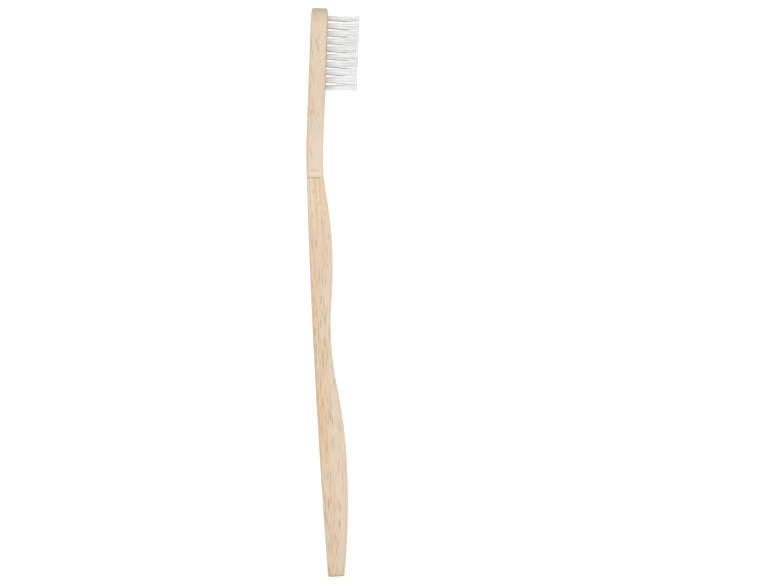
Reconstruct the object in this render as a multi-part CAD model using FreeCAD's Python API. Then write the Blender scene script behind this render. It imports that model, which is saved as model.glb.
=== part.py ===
import FreeCAD, Part
import math
import os

from FreeCAD import Placement, Rotation, Vector

# A manual toothbrush. The handle and head are one piece of bamboo, sawn from a flat strip.
# Every tuft is a bundle of nylon bristles, folded over a metal anchor plate and driven into a
# blind hole, where the plate's ends bite into the bamboo and hold the bundle.
#
# Sizes are in millimetres and degrees. The brush lies on one side of the strip. X is the way
# the bristles point, Y runs from the butt to the tip of the head, and Z goes across the strip.

# Tuft field: rows are counted from the tip of the head, columns go across it
tufts_per_row = [3, 4, 4, 4, 4, 4, 4, 4, 4, 3]
row_pitch = 2.58
column_pitch = 2.4
tip_margin = 3.6           # from the tip of the head to the first row
neck_margin = 3.18         # from the last row to where the head starts to narrow
side_margin = 1.55         # bamboo beside the outermost holes
hole_diameter = 1.7
hole_depth = 3.4
hole_sides = 12            # flats that stand for the round of a hole and its tuft

# Tufts
bristle_height = 10.6      # trimmed height above the head
tuft_clearance = 0.02      # between a tuft and the wall of its hole
tip_gap = 0.1              # between the spread tips of neighbouring tufts

# Anchor plates
anchor_thickness = 0.28
anchor_height = 1.2
anchor_bite = 0.22         # how far each end of a plate goes into the bamboo
anchor_angle = 45.0        # turned from the rows, so that the plates don't split the grain
anchor_clearance = 0.01
fold_thickness = 0.6       # bristles below a plate

# Side profile of the handle: lengths along it, and thicknesses from the back to the front
brush_length = 190.0       # from the middle of the butt to the middle of the tip
palm_to_waist = 42.5
waist_to_thumb = 31.5
thumb_to_neck = 25.0
butt_thickness = 5.5
palm_thickness = 8.95
waist_thickness = 5.95
thumb_thickness = 7.7
neck_thickness = 5.65
head_thickness = 5.7
head_angle = 5.0           # the head leans towards the bristles
nose_length = 2.6          # how far from the tip the head gets thinner
nose_radius = 10.0
neck_front_radius = 80.0
neck_back_radius = 180.0
back_bow_radius = 2900.0
bow_to_waist = 5.5         # from where the back bulges furthest
crest_share = 0.62         # share of a flank's length that belongs to its crest

# Plan outline, sawn square to the head
neck_width = 7.0
taper_length = 22.0        # from the full width of the handle to the slim neck
slim_setback = 3.0         # from the bend at the neck to the slim neck
slim_length = 5.0
shoulder_length = 16.0     # from the slim neck to the full width of the head

butt_corner_radius = 1.5
edge_radius = 0.7
sharp_turn = 20.0          # edges that turn further than this are rounded
saw_overrun = 3.0          # how far a cut starts outside the bamboo

# Worked out from the sizes above
strip_width = (max(tufts_per_row) - 1) * column_pitch + hole_diameter + 2 * side_margin
head_length = tip_margin + (len(tufts_per_row) - 1) * row_pitch + neck_margin
tip_to_shoulder = head_length + shoulder_length
tip_to_slim = tip_to_shoulder + slim_length
tip_to_taper = tip_to_slim + taper_length
neck_station = brush_length - tip_to_slim - slim_setback
thumb_station = neck_station - thumb_to_neck
waist_station = thumb_station - waist_to_thumb
bow_station = waist_station - bow_to_waist
palm_station = waist_station - palm_to_waist
root_radius = hole_diameter / 2 - tuft_clearance
tip_radius = (min(row_pitch, column_pitch) - tip_gap) / 2
anchor_length = hole_diameter + 2 * anchor_bite
anchor_foot = fold_thickness - hole_depth


def leaning(angle):
    """The unit vector that leans by an angle from +Y towards +X."""
    return Vector(math.sin(math.radians(angle)), math.cos(math.radians(angle)), 0)


along = leaning(0)                              # along the handle, towards the head
across = Vector(0, 0, 1)
head_along = leaning(head_angle)                # along the head, towards its tip
head_out = head_along.cross(across)             # square to the head, the way the bristles point
head_turn = Rotation(-across, head_along, head_out, "ZYX")


def line(start, end):
    return Part.makeLine(start, end)


def tangent_arc(start, tangent, end):
    """An arc that leaves start along a tangent and stops at end."""
    chord = end - start
    half_turn = tangent.getAngle(chord)
    bulge = tangent - chord * (tangent.dot(chord) / chord.dot(chord))
    rise = chord.Length / 2 * math.tan(half_turn / 2)
    middle = start + chord / 2 + bulge.normalize() * rise
    return Part.Arc(start, middle, end).toShape()


def flank(start, end, start_share):
    """Two arcs in an S, between two points where the outline runs parallel to Y."""
    joint = start + (end - start) * start_share
    return [tangent_arc(start, along, joint), tangent_arc(end, -along, joint)]


def face_inside(edges):
    """The flat face inside edges that meet end to end."""
    return Part.Face(Part.Wire(Part.__sortEdges__(edges)))


def arc_drop(radius, reach):
    """How far an arc falls away from its tangent, at a distance along the tangent."""
    return radius - math.sqrt(radius ** 2 - reach ** 2)


def back_at(station):
    """A point on the long bow of the back."""
    return Vector(arc_drop(back_bow_radius, station - bow_station), station, 0)


def front_at(station, thickness):
    return back_at(station) + Vector(thickness, 0, 0)


def back_bend():
    """The bend in the back at the neck: its start, its lean there, and its end."""
    start = back_at(neck_station)
    lean = math.degrees(math.asin((neck_station - bow_station) / back_bow_radius))
    chord = 2 * neck_back_radius * math.sin(math.radians(head_angle - lean) / 2)
    return start, lean, start + leaning((head_angle + lean) / 2) * chord


def head_at(station, height):
    """A point at a station of the head, at a height above the plane of its back."""
    base = back_bend()[2] + head_out * height
    return base + head_along * ((station - base.y) / head_along.y)


def front_bend():
    """The bend in the front at the neck: its start and its end."""
    base = head_at(neck_station, head_thickness)
    level = front_at(neck_station, neck_thickness).x
    corner = base + head_along * ((level - base.x) / head_along.x)
    reach = neck_front_radius * math.tan(math.radians(head_angle) / 2)
    return corner - along * reach, corner + head_along * reach


def side_profile():
    """The handle and head from the side, square at the butt, with spare length past the tip."""
    tip_cut = brush_length + saw_overrun
    palm = front_at(palm_station, palm_thickness)
    waist = front_at(waist_station, waist_thickness)
    thumb = front_at(thumb_station, thumb_thickness)
    front_butt = front_at(0, butt_thickness)
    back_butt = back_at(0)
    back_start, back_lean, back_end = back_bend()
    front_start, front_end = front_bend()
    nose_station = brush_length - nose_length
    nose_drop = arc_drop(nose_radius, tip_cut - nose_station)
    back_nose = head_at(nose_station, 0)
    front_nose = head_at(nose_station, head_thickness)
    back_tip = head_at(tip_cut, nose_drop)
    front_tip = head_at(tip_cut, head_thickness - nose_drop)

    back = [
        Part.Arc(back_butt, back_at(bow_station), back_start).toShape(),
        tangent_arc(back_start, leaning(back_lean), back_end),
        line(back_end, back_nose),
        tangent_arc(back_nose, head_along, back_tip),
    ]
    front = [
        tangent_arc(palm, -along, front_butt),
        *flank(palm, waist, crest_share),
        *flank(waist, thumb, 1 - crest_share),
        *flank(thumb, front_start, crest_share),
        tangent_arc(front_start, along, front_end),
        line(front_end, front_nose),
        tangent_arc(front_nose, head_along, front_tip),
    ]
    return face_inside(back + front + [line(back_butt, front_butt), line(back_tip, front_tip)])


def plan_outline():
    """The handle and head from the bristle side, from the tip at 0 back to past the butt."""
    wide = strip_width / 2
    slim = neck_width / 2
    butt = Vector(wide, -brush_length - saw_overrun, 0)
    taper = Vector(wide, -tip_to_taper, 0)
    slim_start = Vector(slim, -tip_to_slim, 0)
    slim_end = Vector(slim, -tip_to_shoulder, 0)
    head = Vector(wide, -head_length, 0)
    tip = Vector(wide, -wide, 0)
    one_side = [
        line(butt, taper),
        *flank(taper, slim_start, crest_share),
        line(slim_start, slim_end),
        *flank(slim_end, head, 1 - crest_share),
        line(head, tip),
    ]
    other_side = [edge.mirror(Vector(0, 0, 0), Vector(1, 0, 0)) for edge in one_side]
    butt_end = line(butt, butt - Vector(strip_width, 0, 0))
    half_round_tip = Part.Arc(tip, Vector(0, 0, 0), tip - Vector(strip_width, 0, 0)).toShape()
    return face_inside(one_side + other_side + [butt_end, half_round_tip])


def is_butt_corner(edge):
    """Whether an edge runs from the back to the front at the butt."""
    box = edge.BoundBox
    return box.YMax < edge_radius and box.XLength > edge_radius


def is_sharp(edge, solid):
    """Whether the two faces beside an edge meet at an angle."""
    point = edge.valueAt((edge.FirstParameter + edge.LastParameter) / 2)
    normals = [face.normalAt(*face.Surface.parameter(point))
               for face in solid.ancestorsOfType(edge, Part.Face)]
    return normals[0].getAngle(normals[1]) > math.radians(sharp_turn)


def handle_blank():
    """The bamboo before it is drilled: its profile, sawn to its plan, with rounded edges."""
    profile = side_profile().extrude(across * strip_width)
    tip = head_at(brush_length, head_thickness / 2)
    plan = plan_outline().extrude(Vector(0, 0, brush_length))
    plan.Placement = Placement(tip + across * (strip_width / 2) - head_out * (brush_length / 2), head_turn)
    blank = profile.common(plan).removeSplitter().Solids[0]
    blank = blank.makeFillet(butt_corner_radius, [edge for edge in blank.Edges if is_butt_corner(edge)])
    return blank.makeFillet(edge_radius, [edge for edge in blank.Edges if is_sharp(edge, blank)])


def seat(row, column):
    """Where a tuft goes: the middle of its hole's mouth, with +Z out of the head."""
    mouth = head_at(brush_length, head_thickness) - head_along * (tip_margin + row * row_pitch)
    offset = (column - (tufts_per_row[row] - 1) / 2) * column_pitch
    return Placement(mouth + across * (strip_width / 2 + offset), head_turn)


def plate(clearance, top):
    """A plate on its edge from the foot of an anchor to a height, larger by a clearance."""
    length = anchor_length + 2 * clearance
    thickness = anchor_thickness + 2 * clearance
    corner = Vector(-length / 2, -thickness / 2, anchor_foot)
    shape = Part.makeBox(length, thickness, top - anchor_foot, corner)
    shape.rotate(Vector(0, 0, 0), Vector(0, 0, 1), anchor_angle)
    return shape


def anchor():
    return plate(0, anchor_foot + anchor_height)


def ring(radius, height):
    """The corners of a flat-sided round, about Z."""
    turns = [2 * math.pi * side / hole_sides for side in range(hole_sides)]
    return [Vector(radius * math.cos(turn), radius * math.sin(turn), height) for turn in turns]


def flat_sided(rings):
    """A solid with flat sides from each ring of corners to the next, and flat ends."""
    outlines = [rings[0], rings[-1]]
    for low, high in zip(rings, rings[1:]):
        outlines += [[low[i - 1], low[i], high[i], high[i - 1]] for i in range(hole_sides)]
    faces = [Part.Face(Part.makePolygon(outline + outline[:1])) for outline in outlines]
    return Part.Solid(Part.Shell(faces))


def hole():
    """A drilled hole, and the slit that an anchor cuts in its wall on the way down."""
    drill = flat_sided([ring(hole_diameter / 2, -hole_depth), ring(hole_diameter / 2, saw_overrun)])
    return drill.fuse(plate(anchor_clearance, saw_overrun))


def tuft():
    """A bundle that spreads from its hole to its trimmed tip, with a window for its anchor."""
    bundle = flat_sided([
        ring(root_radius, -hole_depth),
        ring(root_radius, 0),
        ring(tip_radius, bristle_height),
    ])
    return bundle.cut(plate(anchor_clearance, anchor_foot + anchor_height + anchor_clearance))


def placed(shape, placement):
    copy = shape.copy()
    copy.Placement = placement.multiply(copy.Placement)
    return copy


def write_part():
    """One file for each piece, with the origin under the middle of the whole brush."""
    seats = {f"tuft_row{row + 1:02d}_col{column + 1}": seat(row, column)
             for row, count in enumerate(tufts_per_row) for column in range(count)}
    one_hole, one_tuft, one_anchor = hole(), tuft(), anchor()
    nodes = {name: placed(one_tuft, place) for name, place in seats.items()}
    nodes["anchor_plates"] = Part.makeCompound([placed(one_anchor, p) for p in seats.values()])
    nodes["handle"] = handle_blank().cut([placed(one_hole, p) for p in seats.values()])

    box = Part.makeCompound(list(nodes.values())).optimalBoundingBox()
    origin = Vector(box.Center.x, box.Center.y, box.ZMin)
    os.makedirs("parts", exist_ok=True)
    for name, shape in nodes.items():
        shape.translate(-origin)
        shape.exportStep(f"parts/{name}.step")


write_part()
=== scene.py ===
import math
import random

import bmesh
import bpy
from mathutils import Matrix, Vector


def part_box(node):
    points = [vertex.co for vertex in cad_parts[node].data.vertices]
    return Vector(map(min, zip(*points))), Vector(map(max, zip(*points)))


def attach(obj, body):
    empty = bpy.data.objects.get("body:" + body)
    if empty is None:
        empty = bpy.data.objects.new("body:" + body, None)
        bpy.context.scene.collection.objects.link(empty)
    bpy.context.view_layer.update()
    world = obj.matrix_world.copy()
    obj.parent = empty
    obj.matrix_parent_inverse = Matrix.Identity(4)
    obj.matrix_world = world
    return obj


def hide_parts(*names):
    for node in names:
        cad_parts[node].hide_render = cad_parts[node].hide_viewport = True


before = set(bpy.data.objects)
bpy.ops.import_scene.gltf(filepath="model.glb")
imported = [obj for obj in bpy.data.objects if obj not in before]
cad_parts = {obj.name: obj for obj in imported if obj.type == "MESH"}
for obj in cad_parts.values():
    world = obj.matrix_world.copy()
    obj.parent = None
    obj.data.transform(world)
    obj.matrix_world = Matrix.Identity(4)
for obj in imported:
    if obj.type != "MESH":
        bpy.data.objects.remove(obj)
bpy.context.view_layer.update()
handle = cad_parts["handle"]
tufts = sorted(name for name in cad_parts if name.startswith("tuft_"))

# Sizes are in metres. Places across the brush count towards the bristles, and along it towards the tip.
MM = 0.001

# The photograph, and the middle of each end of the brush on it, in pixels
PHOTO_SIZE = (780, 585)
TIP_PIXEL = Vector((319.5, 7.5))
BUTT_PIXEL = Vector((336.5, 576.3))
CAMERA_DISTANCE = 3.2
CAMERA_SENSOR = 36.0                   # in millimetres, as cameras have it
END_REACH = 1.0 * MM                   # how far from an end of the handle its thickness is taken

# Studio
WORLD_LIGHT = 0.844
KEY_PLACE = (0, 0.05, 1.6)
KEY_SIZE = 0.4
KEY_POWER = 12.44
LIGHT_LEVEL = 1.425                    # light on the upper side of the brush; 1 shows colours as they are
TABLE_REACH = 2.0
TABLE_DROP = 0.05 * MM                 # how far below the brush the table is
TABLE_COLOUR = (0.25, 0.25, 0.25, 1)
TABLE_ROUGHNESS = 0.9
TABLE_GLOW = 0.85
WHITE = (1, 1, 1, 1)

# Head, with the holes of the tufts and the slits beside them
HEAD_LEAN_DEGREES = 5.0
HOLE_DEPTH = 3.4 * MM
HOLE_RADIUS = 0.85 * MM
SLIT_REACH = 1.09 * MM                 # from the middle of a hole to the end of its slit
SLIT_WIDTH = 0.30 * MM
SLIT_DEGREES = (-45.0, 135.0)          # where the slit runs out of a hole, from the tip of the head
SLIT_FILL = 0.8 * MM                   # how deep down the slit the bamboo is closed again
LEVEL_PLAY = 0.01 * MM                 # points of a tuft's solid this near its end belong to the end

# Single bristles
BRISTLES_PER_TUFT = 120
BRISTLE_RADIUS = 0.066 * MM
BRISTLE_SIDES = 6
BRISTLE_STEPS = 5                      # straight lengths below the rounded end
ROUNDED_END = 0.35 * MM                # length of the end that is ground round
END_WIDTH = 0.75                       # share of the width that is left there
SUNK = 1.6 * MM                        # how far down its hole a bristle is modelled
TRIM_LEAST = 0.07 * MM                 # how much shorter than its solid the longest bristle is
TRIM_SPREAD = 0.06 * MM                # how much shorter than that the others may be
STRAY = 0.04 * MM                      # how far a tip may be from its place in the bundle
BOW = 0.03 * MM                        # how far a bristle may bow sideways
TUFT_SEED = 7
BRISTLE_ATTRIBUTES = ("bristle_shade", "ground_end", "height_share", "gap_side")

# Bundles, from the mouths of their holes to their trimmed ends
ROOT_RADIUS = 0.84 * MM
TIP_SPREAD = 1.20                      # how much wider than its solid a bundle's trimmed end is
END_ROW_SPREAD = 0.86                  # share of that width, along the head, in the first and last rows
MEET_SHARES = (0.70, 1.00)             # a row stops spreading somewhere between these shares of its height
LEAN_IN = 0.25 * MM                    # how far the tips of the outermost tufts lean in over the field
LEAN_UP = 0.25 * MM                    # how far all tips lean towards the tip of the head

# Colours of the nylon, and the ranges over which they give way, as shares of a bristle's height
NYLON_COLOURS = ((0.95, 0.95, 0.955, 1), (0.975, 0.975, 0.98, 1))
NYLON_TIP = (0.85, 0.85, 0.855, 1)
# painted shade: the bristles are darker towards their feet, near the head
NYLON_PAINTED_FOOT_SHADE = (0.69, 0.67, 0.68, 1)
# painted shade, warmed by a painted reflection of the bamboo, on the sides of the bundles at the gaps
# between the rows
NYLON_PAINTED_GAP_SHADE = (0.72, 0.63, 0.51, 1)
# painted shade on the sides of the ground ends, where they round off; their roughness is real
NYLON_PAINTED_END_SHADE = (0.52, 0.52, 0.525, 1)
TIP_RANGE = (0.75, 1.0)
PAINTED_FOOT_SHADE_RANGE = (0.0, 0.5)
PAINTED_GAP_SHADE_RANGE = (0.0, 0.8)
GAP_SIDE_RANGE = (0.5, 0.95)           # from the middle of a bundle to the side at a gap
END_FACE_RANGE = (0.4, 0.8)            # faces that look this far to the front, the very ends, get neither the painted shade nor the roughness of the ground end
NYLON_ROUGHNESS = (0.40, 0.75)         # along a bristle, and where it is ground
NYLON_LIGHT_DEPTH = 0.2 * MM           # how far light goes into the bristles

# Brass of the anchor plates
BRASS_COLOURS = ((0.72, 0.53, 0.26, 1), (0.86, 0.68, 0.38, 1))
BRASS_MARK_SIZE = (0.03 * MM, 0.4 * MM, 0.03 * MM)
BRASS_MARK_DETAIL = 3.0
BRASS_MARK_RANGE = (0.3, 0.7)
BRASS_ROUGHNESS = (0.25, 0.42)

# Growth node of the bamboo: a line, a fainter ridge above it and a pale band between them, which is a
# painted highlight
NODE_LINE = 38.25 * MM
NODE_RIDGE = 40.8 * MM
NODE_WANDER = 0.5 * MM                 # how unevenly the lines run
NODE_MIDDLE = -7.2 * MM                # where the ridge arches highest, across the brush
NODE_ARCH = 0.16 / MM                  # how sharply it arches
NODE_BACK = (-9.6 * MM, -8.2 * MM)     # where the ridge sets in, across the brush
NODE_FRONT = (-6.0 * MM, -5.2 * MM)    # where the line and the ridge run out, across the brush
LINE_REACH = 0.42 * MM                 # from the middle of the line to its soft edge
RIDGE_REACH = 0.32 * MM
BAND_REACH = 1.6 * MM

# Where one part of the bamboo gives way to another, from the first place to the second
BUNDLES_TO_FRONT = (-10 * MM, -1 * MM)
COLOUR_TO_FRONT = (-10 * MM, -3 * MM)
BELOW_NODE_START = (NODE_LINE - 20 * MM, NODE_LINE - 4 * MM)
ABOVE_NODE_END = (56 * MM, 64 * MM)
HEAD_START = (55 * MM, 75 * MM)
HEAD_EDGE_START = (62 * MM, 66 * MM)
TIP_START = (83 * MM, 87 * MM)
BUTT_START = (-70 * MM, -85 * MM)
BUTT_BUNDLES_START = (-70 * MM, -80 * MM)
STRIP_SPAN = (40 * MM, 60 * MM)
STRIP_WIDTH = 1.1 * MM
BACK_REACH = 2 * MM                    # how near a place along the brush its back is looked for

# Shares of the bundles that show, and what multiplies them in some parts
BUNDLES_AT_BACK = 0.90
BUNDLES_AT_FRONT = 0.30
BUNDLES_ABOVE_NODE = 0.35
ENDS_OUTSIDE_PATCHES = 0.60
ENDS_BELOW_NODE = 0.3
ENDS_AT_TIP = 0.2
ENDS_AT_BUTT = 1.7

# Sizes of the grain: across the brush, along it and in depth
SWAY_SIZE = (5 * MM, 35 * MM, 5 * MM)
FIBRE_SWAY = 0.6 * MM                  # how far the fibres sway sideways
FIBRE_SIZE = (0.13 * MM, 5 * MM, 0.13 * MM)
DRIFT_SIZE = (4 * MM, 25 * MM, 4 * MM)
STRIPE_SIZE = (0.75 * MM, 30 * MM, 0.75 * MM)
RIBBON_SIZE = (0.5 * MM, 120 * MM, 12 * MM)
PATCH_SIZE = (5 * MM, 16 * MM, 5 * MM)
DASH_SIZE = (0.46 * MM, 8 * MM, 0.5 * MM)
THREAD_SIZE = (0.34 * MM, 5 * MM, 0.4 * MM)
WANDER_SIZE = (2.5 * MM, 200 * MM, 2.5 * MM)
WANDER_DETAIL = 3.0

# Stretches of the noise, from 0 to 1, over which the grain goes from one look to the next
FIBRE_RANGE = (0.3, 0.7)
BROKEN_BY_FIBRES = (0.35, 0.60)
DRIFT_RANGE = (0.38, 0.62)
STRIPE_RANGE = (0.46, 0.64)
RIBBON_RANGES = ((0.38, 0.52), (0.52, 0.62))
PATCH_RANGE = (0.42, 0.58)
SPINDLE_EDGE = (0.24, 0.40)            # from the middle of a bundle's cell
SPINDLE_ONSET = (-0.05, 0.25)          # from a bundle that just doesn't show to one that shows fully
LEAST_BROKEN = 0.45                    # what is left of a bundle's end between two fibres

# Faces of the handle, by how far they look to a side, to the front or to the tip, where 1 is straight there
ROUNDED_MIDDLE = 0.45
ROUNDED_REACH = 0.5
BACK_TO_FRONT_FACES = (-0.3, 0.3)
BUTT_TO_TIP_FACES = (-0.5, 0.5)
END_EDGE_FACES = (0.3, 0.6)
END_FACES = (0.6, 1.0)

# Tones of the bamboo, as the display values that they show in, from 0 to 255
BACK_TONES = ((229, 200, 174), (228, 208, 178))
FRONT_TONES = ((232, 210, 190), (230, 216, 192))
# the ribbons are real grain, and their pale tones are partly painted light on the tapering face below the
# node
RIBBON_AND_PAINTED_LIGHT_TONES = ((248, 230, 210), (243, 209, 176), (233, 202, 156))
# The edge tones are painted light, paler than the faces to cancel the shade on the rounded edges; the end
# edge tones are painted shade, the darker one at the butt.
BACK_EDGE_PAINTED_LIGHT = (243, 214, 176)
FRONT_EDGE_PAINTED_LIGHT = ((246, 234, 220), (240, 206, 177))
END_EDGE_PAINTED_SHADE = ((194, 178, 142), (217, 204, 178))

# Marks of the bamboo: their tone, and how much they cover
STRIPE_MARK = ((229, 191, 144), 1.0)
NECK_MARK = ((236, 219, 202), 0.5)
HEAD_MARK = ((231, 211, 176), 0.4)
BUTT_MARK = ((221, 190, 166), 0.4)
DASH_MARK = ((203, 160, 114), 1.0)
THREAD_MARK = ((182, 152, 108), 1.0)
FIBRE_MARK = ((217, 193, 163), 0.22)
# painted highlight: the pale band below the ridge of the node
NODE_PAINTED_HIGHLIGHT = ((241, 226, 204), 0.8)
LINE_MARK = ((190, 164, 132), 0.9)
RIDGE_MARK = ((196, 180, 152), 0.75)
STRIP_MARK = ((236, 199, 154), 0.8)
END_GRAIN_MARK = ((198, 180, 146), 0.6)
RIBBON_COVER = 0.75
EDGE_PAINTED_LIGHT_COVER = 0.8

# Relief and gloss of the bamboo
BAMBOO_ROUGHNESS = (0.50, 0.62)
RELIEF_STRENGTH = 0.30
RELIEF_DEPTH = 0.03 * MM
DASH_DEPTH = 0.6                       # share of that depth by which the ends of bundles lie deeper


def named_material(name):
    material = bpy.data.materials.new(name)
    material.use_nodes = True
    material.node_tree.nodes.clear()
    return material, material.node_tree


def add(tree, kind, inputs=(), **settings):
    """A shader node, with values or links for its inputs, by name or by place."""
    node = tree.nodes.new("ShaderNode" + kind)
    for name, value in settings.items():
        setattr(node, name, value)
    pairs = inputs.items() if isinstance(inputs, dict) else enumerate(inputs)
    for key, value in pairs:
        if isinstance(value, bpy.types.NodeSocket):
            tree.links.new(value, node.inputs[key])
        else:
            node.inputs[key].default_value = value
    return node


def finish_material(tree, **inputs):
    """Gives a material its shader, whose inputs are named with underscores for spaces."""
    named = {name.replace("_", " "): value for name, value in inputs.items()}
    shader = add(tree, "BsdfPrincipled", named)
    add(tree, "OutputMaterial", {"Surface": shader.outputs[0]})


def calc(tree, operation, *values):
    return add(tree, "Math", values, operation=operation).outputs[0]


def product(tree, result, *others):
    for other in others:
        result = calc(tree, "MULTIPLY", result, other)
    return result


def vectors(tree, operation, one, other):
    return add(tree, "VectorMath", [one, other], operation=operation).outputs[0]


def mix(tree, factor, one, other):
    """A colour mixed from two, as factor goes from 0 to 1."""
    return add(tree, "Mix", {0: factor, 6: one, 7: other}, data_type="RGBA").outputs[2]


def between(tree, value, low, high, to_low=0.0, to_high=1.0):
    """A value eased from one range to another."""
    node = add(tree, "MapRange", [value, low, high, to_low, to_high], interpolation_type="SMOOTHSTEP")
    return node.outputs[0]


def fading(tree, value, low, high):
    """1 up to a low value, easing to 0 at a high one."""
    return between(tree, value, low, high, 1.0, 0.0)


def near(tree, value, middle, reach):
    """1 where a value is at a middle, easing to 0 at a reach from it."""
    return fading(tree, calc(tree, "ABSOLUTE", calc(tree, "SUBTRACT", value, middle)), 0.0, reach)


def tone(display):
    """A surface colour that shows as these display values in the studio light."""
    linear = [((value / 255 + 0.055) / 1.055) ** 2.4 for value in display]
    return (*[value / LIGHT_LEVEL for value in linear], 1)


def cover(tree, colour, mask, mark):
    """A colour with a mark over it, where a mask shows it."""
    display, share = mark
    return mix(tree, product(tree, mask, share), colour, tone(display))


def in_cells(tree, size, place):
    """Coordinates counted in cells of a size."""
    scale = [1 / length for length in size]
    return add(tree, "Mapping", {"Vector": place, "Scale": scale}).outputs[0]


def streaks_group():
    """A node group: soft streaks from 0 to 1, of a width, a length along the grain and a depth."""
    group = bpy.data.node_groups.new("streaks_along_grain", "ShaderNodeTree")
    group.interface.new_socket("Place", in_out="INPUT", socket_type="NodeSocketVector")
    for name in ("Width", "Length", "Depth", "Detail"):
        group.interface.new_socket(name, in_out="INPUT", socket_type="NodeSocketFloat")
    group.interface.new_socket("Streaks", in_out="OUTPUT", socket_type="NodeSocketFloat")
    given = group.nodes.new("NodeGroupInput").outputs
    size = add(group, "CombineXYZ", [given["Width"], given["Length"], given["Depth"]]).outputs[0]
    place = vectors(group, "DIVIDE", given["Place"], size)
    grain = add(group, "TexNoise", {"Vector": place, "Scale": 1.0, "Detail": given["Detail"]})
    result = group.nodes.new("NodeGroupOutput")
    group.links.new(grain.outputs["Fac"], result.inputs["Streaks"])


def streaks(tree, size, place, detail=2.0):
    """Streaks of a size, from the node group."""
    width, length, depth = size
    given = {"Place": place, "Width": width, "Length": length, "Depth": depth, "Detail": detail}
    return add(tree, "Group", given, node_tree=bpy.data.node_groups["streaks_along_grain"]).outputs[0]


class Grain:
    """Coordinates of the bamboo, straight and along its fibres, and the parts that its marks keep to.

    The bundles crowd towards the back of the brush, which was the outside of the stem.
    """

    def __init__(self, tree):
        self.straight = add(tree, "TexCoord").outputs["Object"]
        self.swayed = vectors(tree, "ADD", self.straight, self.sway(tree))
        self.across, self.along = add(tree, "SeparateXYZ", [self.straight]).outputs[:2]
        self.fibres = streaks(tree, FIBRE_SIZE, self.swayed)

        normal = add(tree, "NewGeometry").outputs["Normal"]
        self.to_front, self.to_tip, to_side = add(tree, "SeparateXYZ", [normal]).outputs
        self.sideways = calc(tree, "ABSOLUTE", to_side)
        self.endways = calc(tree, "ABSOLUTE", self.to_tip)

        self.above_node = product(tree, between(tree, self.along, NODE_LINE, NODE_RIDGE),
                                  fading(tree, self.along, *ABOVE_NODE_END))
        self.below_node = product(tree, between(tree, self.along, *BELOW_NODE_START),
                                  calc(tree, "LESS_THAN", self.along, NODE_LINE))
        self.bundles = product(
            tree, between(tree, self.across, *BUNDLES_TO_FRONT, BUNDLES_AT_BACK, BUNDLES_AT_FRONT),
            between(tree, self.above_node, 0.0, 1.0, 1.0, BUNDLES_ABOVE_NODE))

    def sway(self, tree):
        """How far the fibres are from straight, here and there."""
        place = in_cells(tree, SWAY_SIZE, self.straight)
        noise = add(tree, "TexNoise", {"Vector": place, "Scale": 1.0, "Detail": 1.0}).outputs["Color"]
        both_ways = vectors(tree, "SUBTRACT", noise, (0.5, 0.5, 0.5))
        return vectors(tree, "MULTIPLY", both_ways, (FIBRE_SWAY, 0, FIBRE_SWAY))


def plain_colour(tree, grain):
    """The colour between the marks, which drifts slowly and is paler at the front."""
    drift = between(tree, streaks(tree, DRIFT_SIZE, grain.swayed), *DRIFT_RANGE)
    back, front = [mix(tree, drift, tone(pinker), tone(yellower))
                   for pinker, yellower in (BACK_TONES, FRONT_TONES)]
    return mix(tree, between(tree, grain.across, *COLOUR_TO_FRONT), back, front)


def ribbon_and_painted_light_colour(tree, grain):
    """Long ribbons, which go from pale to tan, for the part below the growth node; their paleness is partly
    painted light on the face that tapers there.
    """
    ribbons = streaks(tree, RIBBON_SIZE, grain.straight)
    colour = tone(RIBBON_AND_PAINTED_LIGHT_TONES[0])
    for onset, display in zip(RIBBON_RANGES, RIBBON_AND_PAINTED_LIGHT_TONES[1:]):
        colour = mix(tree, between(tree, ribbons, *onset), colour, tone(display))
    return colour


def spindles(tree, size, place, share):
    """A mask of spindles along the grain, each in a cell of a size, of which a share shows."""
    cells = add(tree, "TexVoronoi", {"Vector": in_cells(tree, size, place), "Scale": 1.0}).outputs
    chosen = add(tree, "SeparateColor", [cells["Color"]]).outputs[0]
    shown = between(tree, calc(tree, "SUBTRACT", share, chosen), *SPINDLE_ONSET)
    return product(tree, fading(tree, cells["Distance"], *SPINDLE_EDGE), shown)


def bundle_ends(tree, grain):
    """Masks of the cut ends of bundles, dashes and thinner threads, which come in patches."""
    patches = streaks(tree, PATCH_SIZE, grain.straight)
    patches = between(tree, patches, *PATCH_RANGE, ENDS_OUTSIDE_PATCHES, 1.0)
    share = product(tree, patches, grain.bundles,
                    between(tree, grain.below_node, 0.0, 1.0, 1.0, ENDS_BELOW_NODE),
                    between(tree, grain.along, *TIP_START, 1.0, ENDS_AT_TIP),
                    between(tree, grain.along, *BUTT_BUNDLES_START, 1.0, ENDS_AT_BUTT))
    broken = between(tree, grain.fibres, *BROKEN_BY_FIBRES, LEAST_BROKEN, 1.0)
    return [product(tree, spindles(tree, size, grain.swayed, share), broken)
            for size in (DASH_SIZE, THREAD_SIZE)]


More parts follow.
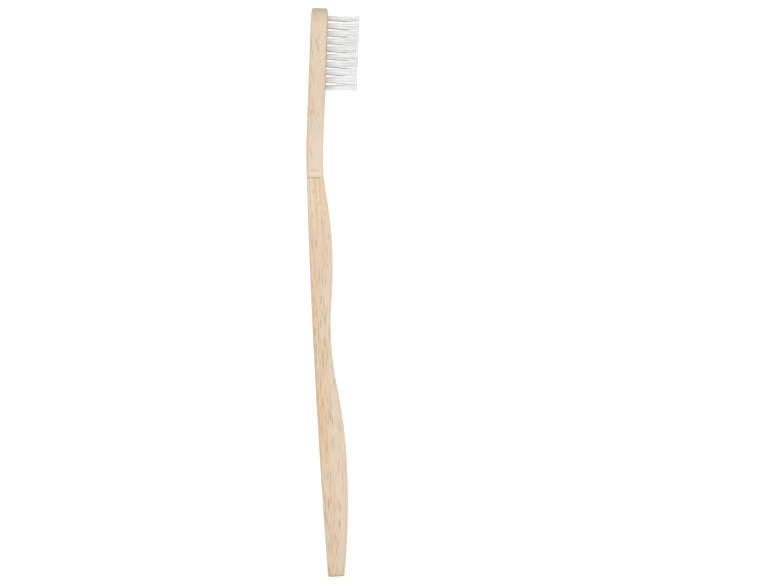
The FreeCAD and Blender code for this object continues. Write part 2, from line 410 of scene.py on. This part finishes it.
def growth_node(tree, grain):
    """Masks of the line, the ridge and the pale band, a painted highlight, of the growth node."""
    unevenness = streaks(tree, WANDER_SIZE, grain.straight, WANDER_DETAIL)
    wander = calc(tree, "MULTIPLY_ADD", unevenness, NODE_WANDER, grain.along)
    off_middle = calc(tree, "ABSOLUTE", calc(tree, "SUBTRACT", grain.across, NODE_MIDDLE))
    arched = calc(tree, "MULTIPLY_ADD", calc(tree, "POWER", off_middle, 2.0), NODE_ARCH, wander)
    behind_front = fading(tree, grain.across, *NODE_FRONT)
    line = product(tree, near(tree, wander, NODE_LINE + NODE_WANDER / 2, LINE_REACH), behind_front)
    ridge = product(tree, near(tree, arched, NODE_RIDGE + NODE_WANDER / 2, RIDGE_REACH), behind_front,
                    between(tree, grain.across, *NODE_BACK))
    band = near(tree, wander, (NODE_LINE + NODE_RIDGE + NODE_WANDER) / 2, BAND_REACH)
    return line, ridge, band


def back_line(low, high):
    """Where the back of the handle is at its middle and how it leans, from a stretch along the brush."""
    ends = []
    for place in (low, high):
        points = [vert.co for vert in handle.data.vertices if abs(vert.co.y - place) < BACK_REACH]
        ends.append(min(points, key=lambda point: point.x))
    lean = (ends[1].x - ends[0].x) / (ends[1].y - ends[0].y)
    return ends[0].x - lean * ends[0].y, lean


def neck_strip(tree, grain):
    """A mask of the tan strip along the back of the neck."""
    start, stop = STRIP_SPAN
    back, lean = back_line(start, stop)
    inside = calc(tree, "SUBTRACT", grain.across, calc(tree, "MULTIPLY_ADD", grain.along, lean, back))
    return product(tree, fading(tree, inside, STRIP_WIDTH / 2, STRIP_WIDTH),
                   near(tree, grain.along, (start + stop) / 2, stop - start))


def painted_edge_light(tree, grain):
    """Painted light on the rounded edges, paler than the faces to cancel their shade: pale at the front,
    tanner along the head and at the back; and painted shade where they turn to the ends, darker at the
    butt.
    """
    front = mix(tree, between(tree, grain.along, *HEAD_EDGE_START), *map(tone, FRONT_EDGE_PAINTED_LIGHT))
    colour = mix(tree, between(tree, grain.to_front, *BACK_TO_FRONT_FACES), tone(BACK_EDGE_PAINTED_LIGHT), front)
    ends = mix(tree, between(tree, grain.to_tip, *BUTT_TO_TIP_FACES), *map(tone, END_EDGE_PAINTED_SHADE))
    return mix(tree, between(tree, grain.endways, *END_EDGE_FACES), colour, ends)


def bamboo():
    """Bare sanded bamboo: long fibres, short ends of bundles and a growth node, with duller sawn ends, and
    painted light and shade on the rounded edges.
    """
    material, tree = named_material("bare_bamboo")
    grain = Grain(tree)
    dash, thread = bundle_ends(tree, grain)
    line, ridge, band = growth_node(tree, grain)
    stripes = between(tree, streaks(tree, STRIPE_SIZE, grain.swayed), *STRIPE_RANGE)

    colour = plain_colour(tree, grain)
    colour = cover(tree, colour, product(tree, stripes, grain.bundles), STRIPE_MARK)
    colour = cover(tree, colour, grain.above_node, NECK_MARK)
    colour = cover(tree, colour, between(tree, grain.along, *HEAD_START), HEAD_MARK)
    colour = cover(tree, colour, between(tree, grain.along, *BUTT_START), BUTT_MARK)
    # below the node the ribbons show, and their pale tones are partly painted light on the tapering face
    ribboned = product(tree, grain.below_node, RIBBON_COVER)
    colour = mix(tree, ribboned, colour, ribbon_and_painted_light_colour(tree, grain))
    colour = cover(tree, colour, dash, DASH_MARK)
    colour = cover(tree, colour, thread, THREAD_MARK)
    colour = cover(tree, colour, between(tree, grain.fibres, *FIBRE_RANGE), FIBRE_MARK)
    # painted highlight: the pale band below the ridge of the node
    colour = cover(tree, colour, band, NODE_PAINTED_HIGHLIGHT)
    colour = cover(tree, colour, line, LINE_MARK)
    colour = cover(tree, colour, ridge, RIDGE_MARK)
    colour = cover(tree, colour, neck_strip(tree, grain), STRIP_MARK)
    # painted light on the rounded edges, and painted shade where they turn to the ends
    rounded = product(tree, near(tree, grain.sideways, ROUNDED_MIDDLE, ROUNDED_REACH), EDGE_PAINTED_LIGHT_COVER)
    colour = mix(tree, rounded, colour, painted_edge_light(tree, grain))
    colour = cover(tree, colour, between(tree, grain.endways, *END_FACES), END_GRAIN_MARK)

    height = calc(tree, "SUBTRACT", grain.fibres, product(tree, dash, DASH_DEPTH))
    height = calc(tree, "SUBTRACT", height, line)
    relief = {"Strength": RELIEF_STRENGTH, "Distance": RELIEF_DEPTH, "Height": height}
    finish_material(tree, Base_Color=colour, Normal=add(tree, "Bump", relief).outputs[0],
                    Roughness=between(tree, grain.fibres, *FIBRE_RANGE, *BAMBOO_ROUGHNESS))
    return material


def nylon():
    """White nylon bristle, which lets a little light through and is rougher where its end is ground round,
    with painted shade on the sides of that end.

    Beside the gaps between the rows and towards their feet, the bristles carry painted shade, warmed beside
    the gaps by a painted reflection of the bamboo.
    """
    material, tree = named_material("white_nylon")
    shade, ground, height, gap_side = [add(tree, "Attribute", attribute_name=name).outputs["Fac"]
                                       for name in BRISTLE_ATTRIBUTES]
    to_front = add(tree, "SeparateXYZ", [add(tree, "NewGeometry").outputs["True Normal"]]).outputs[0]
    ground = product(tree, ground, fading(tree, to_front, *END_FACE_RANGE))
    # painted shade and painted reflection of the bamboo, on the sides of the bundles at the gaps
    painted_gap_shade = product(tree, fading(tree, height, *PAINTED_GAP_SHADE_RANGE),
                         between(tree, gap_side, *GAP_SIDE_RANGE))

    colour = mix(tree, shade, *NYLON_COLOURS)
    colour = mix(tree, between(tree, height, *TIP_RANGE), colour, NYLON_TIP)
    # painted shade towards the feet of the bristles
    colour = mix(tree, fading(tree, height, *PAINTED_FOOT_SHADE_RANGE), colour, NYLON_PAINTED_FOOT_SHADE)
    colour = mix(tree, painted_gap_shade, colour, NYLON_PAINTED_GAP_SHADE)
    # painted shade on the sides of the ground ends
    colour = mix(tree, ground, colour, NYLON_PAINTED_END_SHADE)
    finish_material(tree, Base_Color=colour, Roughness=between(tree, ground, 0.0, 1.0, *NYLON_ROUGHNESS),
                    Subsurface_Weight=1.0, Subsurface_Radius=(1, 1, 1), Subsurface_Scale=NYLON_LIGHT_DEPTH)
    return material


def brass():
    """Stamped anchor strip."""
    material, tree = named_material("anchor_brass")
    place = add(tree, "TexCoord").outputs["Object"]
    marks = streaks(tree, BRASS_MARK_SIZE, place, BRASS_MARK_DETAIL)
    rough = between(tree, marks, *BRASS_MARK_RANGE, *BRASS_ROUGHNESS)
    finish_material(tree, Base_Color=mix(tree, marks, *BRASS_COLOURS), Metallic=1.0, Roughness=rough)
    return material


def white_table():
    """A table top that glows evenly."""
    material, tree = named_material("white_table")
    finish_material(tree, Base_Color=TABLE_COLOUR, Roughness=TABLE_ROUGHNESS,
                    Emission_Color=WHITE, Emission_Strength=TABLE_GLOW)
    return material


def dress(node_object, material):
    """Gives a node of the frame its finish."""
    node_object.data.materials.clear()
    node_object.data.materials.append(material)


def new_piece(name, shape, material):
    mesh = bpy.data.meshes.new(name)
    shape.to_mesh(mesh)
    shape.free()
    for face in mesh.polygons:
        face.use_smooth = True
    mesh.materials.append(material)
    piece = bpy.data.objects.new(name, mesh)
    bpy.context.scene.collection.objects.link(piece)
    return piece


def head_turn():
    """Turns a tuft's own directions, along the head, across it and out of it, into the frame's."""
    lean = math.radians(HEAD_LEAN_DEGREES)
    out = Vector((math.cos(lean), -math.sin(lean), 0))
    side = Vector((0, 0, 1))
    return Matrix((side.cross(out), side, out)).transposed()


def tuft_axis(node_object, out):
    """The middle of the root and of the trimmed tip of a tuft's solid."""
    points = [vert.co.copy() for vert in node_object.data.vertices]
    reach = [point.dot(out) for point in points]
    ends = []
    for limit in (min(reach), max(reach)):
        ring = [point for point, at in zip(points, reach) if abs(at - limit) < LEVEL_PLAY]
        ends.append(sum(ring, Vector()) / len(ring))
    return ends


def row_and_column(tuft):
    """The numbers of a tuft's row and column, which its name ends with."""
    return [int(word[3:]) for word in tuft.split("_")[1:]]


def field_place(tuft):
    """Where a tuft is in the field, along the head and across it: 1 or -1 at an edge, and 0 inside."""
    row, column = row_and_column(tuft)
    places = [row_and_column(name) for name in tufts]
    rows = [other_row for other_row, _ in places]
    columns = [other_column for other_row, other_column in places if other_row == row]
    along = (row == min(rows)) - (row == max(rows))
    sideways = (column == max(columns)) - (column == min(columns))
    return Vector((along, sideways, 0))


def squared(radius, angle):
    """A place in a round of radius 1, moved to fill a square as evenly as it filled the round."""
    quarter = math.pi / 2
    turns = round(angle / quarter)
    sideways = radius * (angle / quarter - turns) * 2
    return Matrix.Rotation(turns * quarter, 3, "Z") @ Vector((radius, sideways, 0))


def bundle_places(edge, tip_radius):
    """Each bristle's place in a round of radius 1, and where its tip is from the middle of the bundle.

    The first and last rows stay slimmer on the side that faces the other rows.
    """
    golden_angle = math.pi * (3 - math.sqrt(5))
    slimness = END_ROW_SPREAD if edge.x else 1.0
    leaning = Vector((LEAN_UP, 0, 0)) - edge * LEAN_IN
    leaning.x += edge.x * tip_radius * (1 - slimness)
    places = []
    for number in range(BRISTLES_PER_TUFT):
        radius = math.sqrt((number + 0.5) / BRISTLES_PER_TUFT)
        angle = number * golden_angle
        place = Vector((math.cos(angle), math.sin(angle), 0)) * radius
        tip = squared(radius, angle) * (tip_radius - BRISTLE_RADIUS)
        tip.x *= slimness
        places.append((place, tip + leaning))
    return places


def bristle_mould():
    """One straight bristle along +Z, a unit to each step, whose last step stands for its rounded end."""
    shape = bmesh.new()
    ring = bmesh.ops.create_circle(shape, segments=BRISTLE_SIDES, radius=BRISTLE_RADIUS)["verts"]
    edges = list({edge for vert in ring for edge in vert.link_edges})
    bmesh.ops.edgenet_fill(shape, edges=edges)
    for step in range(BRISTLE_STEPS + 1):
        grown = bmesh.ops.extrude_edge_only(shape, edges=edges)["geom"]
        ring = [item for item in grown if isinstance(item, bmesh.types.BMVert)]
        edges = [item for item in grown if isinstance(item, bmesh.types.BMEdge)
                 and all(vert in ring for vert in item.verts)]
        bmesh.ops.translate(shape, verts=ring, vec=(0, 0, 1))
    bmesh.ops.scale(shape, verts=ring, vec=(END_WIDTH, END_WIDTH, 1))
    bmesh.ops.edgenet_fill(shape, edges=edges)
    bmesh.ops.recalc_face_normals(shape, faces=shape.faces)
    mould = bpy.data.meshes.new("bristle_mould")
    shape.to_mesh(mould)
    shape.free()
    return mould


def any_way(chance):
    """A random direction and length across a bristle, of at most 1 each way."""
    return Vector((chance.uniform(-1, 1), chance.uniform(-1, 1), 0))


def grow_tuft(name, node_object, mould, material, chance, meet):
    """A bundle of bristles in the place of a tuft's solid, which spreads up to a share of its height."""
    turn = head_turn()
    out = turn.col[2]
    root, tip = tuft_axis(node_object, out)
    low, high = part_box(node_object.name)
    tip_radius = (high.z - low.z) / 2 * TIP_SPREAD
    mouth = root + out * HOLE_DEPTH
    height = (tip - mouth).length
    edge = field_place(node_object.name)

    shape = bmesh.new()
    looks = []
    for place, end in bundle_places(edge, tip_radius):
        start = place * (ROOT_RADIUS - BRISTLE_RADIUS)
        end = end + any_way(chance) * STRAY
        bow = any_way(chance) * BOW
        length = height - TRIM_LEAST - chance.random() * TRIM_SPREAD
        step_length = (length - ROUNDED_END + SUNK) / BRISTLE_STEPS
        rises = [step * step_length - SUNK for step in range(BRISTLE_STEPS + 1)] + [length]
        shade = chance.random()
        gap_side = 0.0 if place.x * edge.x > 0 else abs(place.x)
        before = len(shape.verts)
        shape.from_mesh(mould)
        shape.verts.ensure_lookup_table()
        for vert in shape.verts[before:]:
            step = round(vert.co.z)
            share = max(0, rises[step] / height)
            path = start.lerp(end, min(1, share / meet)) + bow * math.sin(math.pi * share)
            vert.co = mouth + turn @ (Vector((vert.co.x, vert.co.y, rises[step])) + path)
            looks.append((shade, float(step > BRISTLE_STEPS), share, gap_side))

    piece = new_piece(name, shape, material)
    for attribute, values in zip(BRISTLE_ATTRIBUTES, zip(*looks)):
        piece.data.attributes.new(attribute, "FLOAT", "POINT").data.foreach_set("value", values)
    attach(piece, "root")
    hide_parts(node_object.name)


def grow_tufts(material):
    """All the tufts, of which each row stops spreading at its own share of its height."""
    mould = bristle_mould()
    chance = random.Random(TUFT_SEED)
    rows = sorted({row_and_column(tuft)[0] for tuft in tufts})
    meets = {row: chance.uniform(*MEET_SHARES) for row in rows}
    for tuft in tufts:
        meet = meets[row_and_column(tuft)[0]]
        grow_tuft(tuft.replace("tuft", "bristles"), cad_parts[tuft], mould, material, chance, meet)


def close_slits(material):
    """Bamboo that closed again behind the anchor plates, beside the mouths of the holes."""
    turn = head_turn()
    reach = SLIT_REACH - HOLE_RADIUS
    shape = bmesh.new()
    for tuft in tufts:
        mouth = tuft_axis(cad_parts[tuft], turn.col[2])[0] + turn.col[2] * HOLE_DEPTH
        for degrees in SLIT_DEGREES:
            block = bmesh.ops.create_cube(shape, size=1)["verts"]
            bmesh.ops.scale(shape, verts=block, vec=(reach, SLIT_WIDTH, SLIT_FILL))
            bmesh.ops.translate(shape, verts=block, vec=(HOLE_RADIUS + reach / 2, 0, -SLIT_FILL / 2))
            place = turn @ Matrix.Rotation(math.radians(degrees), 3, "Z")
            bmesh.ops.transform(shape, verts=block, matrix=Matrix.Translation(mouth) @ place.to_4x4())
    piece = new_piece("closed_slits", shape, material)
    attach(piece, "root")


def end_middle(choose):
    """The middle of the handle's thickness at the end that max or min chooses."""
    points = [vert.co for vert in handle.data.vertices]
    limit = choose(point.y for point in points)
    across = [point.x for point in points if abs(point.y - limit) < END_REACH]
    return Vector(((min(across) + max(across)) / 2, limit))


def add_camera():
    """A camera far above, which puts both ends of the brush on their pixels of the photograph."""
    tip, butt = end_middle(max), end_middle(min)
    seen = Vector((TIP_PIXEL.x - BUTT_PIXEL.x, BUTT_PIXEL.y - TIP_PIXEL.y))
    real = tip - butt
    pixel = real.length / seen.length
    roll = math.atan2(real.y, real.x) - math.atan2(seen.y, seen.x)
    right = Vector((math.cos(roll), math.sin(roll), 0))
    up = Vector((-math.sin(roll), math.cos(roll), 0))
    middle = (TIP_PIXEL + BUTT_PIXEL) / 2
    offset = right * (PHOTO_SIZE[0] / 2 - middle.x) - up * (PHOTO_SIZE[1] / 2 - middle.y)
    place = ((tip + butt) / 2).to_3d() + offset * pixel
    low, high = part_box("handle")
    place.z = (low.z + high.z) / 2 + CAMERA_DISTANCE

    lens = bpy.data.cameras.new("camera")
    lens.sensor_width = CAMERA_SENSOR
    lens.sensor_fit = "HORIZONTAL"
    lens.lens = CAMERA_SENSOR * CAMERA_DISTANCE / (PHOTO_SIZE[0] * pixel)
    camera = bpy.data.objects.new("camera", lens)
    camera.matrix_world = Matrix((right, up, (0, 0, 1))).transposed().to_4x4()
    camera.location = place
    bpy.context.scene.collection.objects.link(camera)
    bpy.context.scene.camera = camera


def add_floor():
    """A white light table."""
    shape = bmesh.new()
    bmesh.ops.create_grid(shape, x_segments=1, y_segments=1, size=TABLE_REACH)
    bmesh.ops.translate(shape, verts=shape.verts, vec=(0, 0, -TABLE_DROP))
    floor = new_piece("table_top", shape, white_table())


def add_light():
    """Even light from all round, and a softbox nearly in line with the camera."""
    world = bpy.data.worlds.new("studio")
    bpy.context.scene.world = world
    world.use_nodes = True
    sky = world.node_tree.nodes["Background"]
    sky.inputs["Color"].default_value = WHITE
    sky.inputs["Strength"].default_value = WORLD_LIGHT

    softbox = bpy.data.lights.new("key_softbox", "AREA")
    softbox.shape = "SQUARE"
    softbox.size = KEY_SIZE
    softbox.energy = KEY_POWER
    lamp = bpy.data.objects.new("key_softbox", softbox)
    lamp.location = KEY_PLACE
    lamp.rotation_euler = (-Vector(KEY_PLACE)).to_track_quat("-Z", "Y").to_euler()
    bpy.context.scene.collection.objects.link(lamp)
    bpy.context.scene.view_settings.view_transform = "Standard"


streaks_group()
bare_bamboo = bamboo()
dress(handle, bare_bamboo)
dress(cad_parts["anchor_plates"], brass())
grow_tufts(nylon())
close_slits(bare_bamboo)

add_camera()
add_floor()
add_light()
